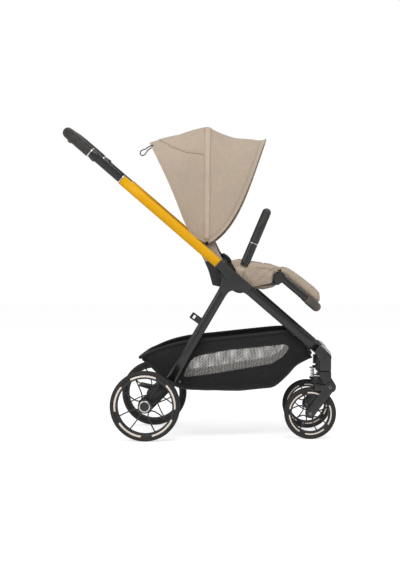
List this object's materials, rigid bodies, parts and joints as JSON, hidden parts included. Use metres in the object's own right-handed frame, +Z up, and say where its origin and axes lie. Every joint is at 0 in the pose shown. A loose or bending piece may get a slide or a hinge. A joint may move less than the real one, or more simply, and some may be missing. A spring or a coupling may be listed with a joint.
{
  "type": "travel system stroller",
  "caption": "Folding four-wheeled stroller with a telescoping handle, swivel front wheels, a lift-off reclining seat, a canopy, a footrest and a storage basket.",
  "frame": {"origin": "on the floor, at the middle of the overall length and width", "axes": "+X forward, +Y to the stroller's left, +Z up"},
  "size_m": [0.9465, 0.5856, 1.0869],
  "materials": {
    "moulding": "satin black nylon",
    "frame_tube": "black powder coat",
    "yellow_tube": "satin yellow coat",
    "steel": "bright",
    "tyre": "matte",
    "fabric": "woven beige cloth",
    "shell": "cloth over a stiff board",
    "webbing": "black webbing",
    "basket_cloth": "black cloth with mesh windows",
    "leather": "dark brown leatherette",
    "reflector": "pale lens"
  },
  "bodies": {
    "chassis": {"hub_right": "moulding", "hub_left": "moulding", "front_leg_right": "frame_tube", "front_leg_left": "frame_tube", "front_elbow_right": "moulding", "front_elbow_left": "moulding", "elbow_reflector_right": "reflector", "elbow_reflector_left": "reflector", "seat_socket_right": "moulding", "seat_socket_left": "moulding", "front_cross_bar": "frame_tube", "basket": "basket_cloth", "basket_rim": "moulding"},
    "rear_frame": {"rear_leg_right": "frame_tube", "rear_leg_left": "frame_tube", "rear_axle_housing_right": "moulding", "rear_axle_housing_left": "moulding", "rear_cross_tube": "frame_tube", "fold_latch": "moulding"},
    "brake": {"brake_pedal": "moulding"},
    "rear_wheel_right": {"rear_tyre_right": "tyre", "rear_rim_right": "moulding", "rear_cap_right": "moulding"},
    "rear_wheel_left": {"rear_tyre_left": "tyre", "rear_rim_left": "moulding", "rear_cap_left": "moulding"},
    "caster_right": {"fork_crown_right": "moulding"},
    "caster_left": {"fork_crown_left": "moulding"},
    "arm_right": {"swing_arm_right": "moulding", "suspension_spring_right": "steel"},
    "arm_left": {"swing_arm_left": "moulding", "suspension_spring_left": "steel"},
    "front_wheel_right": {"front_tyre_right": "tyre", "front_rim_right": "moulding"},
    "front_wheel_left": {"front_tyre_left": "tyre", "front_rim_left": "moulding"},
    "handle_lower": {"handle_tube_right": "yellow_tube", "handle_tube_left": "yellow_tube", "tube_collar_right": "steel", "tube_collar_left": "steel"},
    "handle_upper": {"inner_tube_right": "frame_tube", "inner_tube_left": "frame_tube", "handle_grip": "leather"},
    "release": {"handle_button": "moulding"},
    "seat": {"seat_frame": "moulding", "seat_pad": "fabric", "harness_buckle": "moulding"},
    "bumper": {"bumper_bar": "leather"},
    "footrest": {"footrest_frame": "frame_tube", "footrest_sleeve": "leather", "calf_pad": "fabric"},
    "backrest": {"backrest_shell": "shell", "backrest_pad": "fabric", "shoulder_strap_right": "webbing", "shoulder_strap_left": "webbing", "canopy_rear_panel": "fabric"},
    "canopy_middle": {"canopy_middle_bow": "moulding"},
    "canopy_front": {"canopy_front_bow": "moulding", "canopy_front_panel": "fabric"}
  },
  "joints": [
    {"name": "handle_fold", "type": "hinge", "parent": "chassis", "child": "handle_lower", "pos_m": [0.08224, 0, 0.59331], "axis": [0, -1, 0], "range_deg": [0, 108]},
    {"name": "leg_fold", "type": "hinge", "parent": "chassis", "child": "rear_frame", "pos_m": [0.0902, 0, 0.52137], "axis": [0, -1, 0], "range_deg": [0, 50.1]},
    {"name": "handle_extend", "type": "slide", "parent": "handle_lower", "child": "handle_upper", "axis": [-0.7559, 0, 0.6547], "range_m": [-0.09, 0]},
    {"name": "handle_release", "type": "slide", "parent": "handle_upper", "child": "release", "axis": [0.6547, 0, 0.7559], "range_m": [0, 0.004], "stiffness_N_per_m": 600, "springref_m": -0.002},
    {"name": "brake", "type": "hinge", "parent": "rear_frame", "child": "brake", "pos_m": [-0.149, 0, 0.156], "axis": [0, -1, 0], "range_deg": [0, 20]},
    {"name": "rear_wheel_right_spin", "type": "hinge", "parent": "rear_frame", "child": "rear_wheel_right", "pos_m": [-0.181, -0.265, 0.12], "axis": [0, 1, 0], "continuous": true},
    {"name": "rear_wheel_left_spin", "type": "hinge", "parent": "rear_frame", "child": "rear_wheel_left", "pos_m": [-0.181, 0.265, 0.12], "axis": [0, 1, 0], "continuous": true},
    {"name": "swivel_right", "type": "hinge", "parent": "chassis", "child": "caster_right", "pos_m": [0.435, -0.176, 0.2333], "axis": [0, 0, 1], "continuous": true},
    {"name": "swivel_left", "type": "hinge", "parent": "chassis", "child": "caster_left", "pos_m": [0.435, 0.176, 0.2333], "axis": [0, 0, 1], "continuous": true},
    {"name": "suspension_right", "type": "hinge", "parent": "caster_right", "child": "arm_right", "pos_m": [0.4517, -0.176, 0.1802], "axis": [0, -1, 0], "range_deg": [-6, 0], "stiffness_Nm_per_rad": 40, "springref_deg": 6.88, "deforming": ["suspension_spring_right"]},
    {"name": "suspension_left", "type": "hinge", "parent": "caster_left", "child": "arm_left", "pos_m": [0.4517, 0.176, 0.1802], "axis": [0, -1, 0], "range_deg": [-6, 0], "stiffness_Nm_per_rad": 40, "springref_deg": 6.88, "deforming": ["suspension_spring_left"]},
    {"name": "front_wheel_right_spin", "type": "hinge", "parent": "arm_right", "child": "front_wheel_right", "pos_m": [0.3835, -0.176, 0.0895], "axis": [0, 1, 0], "continuous": true},
    {"name": "front_wheel_left_spin", "type": "hinge", "parent": "arm_left", "child": "front_wheel_left", "pos_m": [0.3835, 0.176, 0.0895], "axis": [0, 1, 0], "continuous": true},
    {"name": "seat_lift", "type": "slide", "parent": "chassis", "child": "seat", "axis": [0, 0, 1], "range_m": [0, 0.3]},
    {"name": "bumper_pull", "type": "slide", "parent": "seat", "child": "bumper", "axis": [0.3907, 0, 0.9205], "range_m": [0, 0.1]},
    {"name": "footrest_tilt", "type": "hinge", "parent": "seat", "child": "footrest", "pos_m": [0.2758, 0, 0.557], "axis": [0, -1, 0], "range_deg": [-20, 40]},
    {"name": "backrest_recline", "type": "hinge", "parent": "seat", "child": "backrest", "pos_m": [0.06, 0, 0.5425], "axis": [0, -1, 0], "range_deg": [0, 40]},
    {"name": "canopy_fold", "type": "hinge", "parent": "backrest", "child": "canopy_front", "pos_m": [0.0275, 0, 0.6731], "axis": [0, -1, 0], "range_deg": [0, 36], "deforming": ["canopy_front_panel"]},
    {"name": "canopy_middle_fold", "type": "hinge", "parent": "backrest", "child": "canopy_middle", "pos_m": [0.0275, 0, 0.6731], "axis": [0, -1, 0], "range_deg": [0, 16.2], "deforming": ["canopy_rear_panel"]}
  ],
  "couplings": [
    {"joint": "leg_fold", "follows": "handle_fold", "ratio": 0.463},
    {"joint": "canopy_middle_fold", "follows": "canopy_fold", "ratio": 0.45}
  ]
}
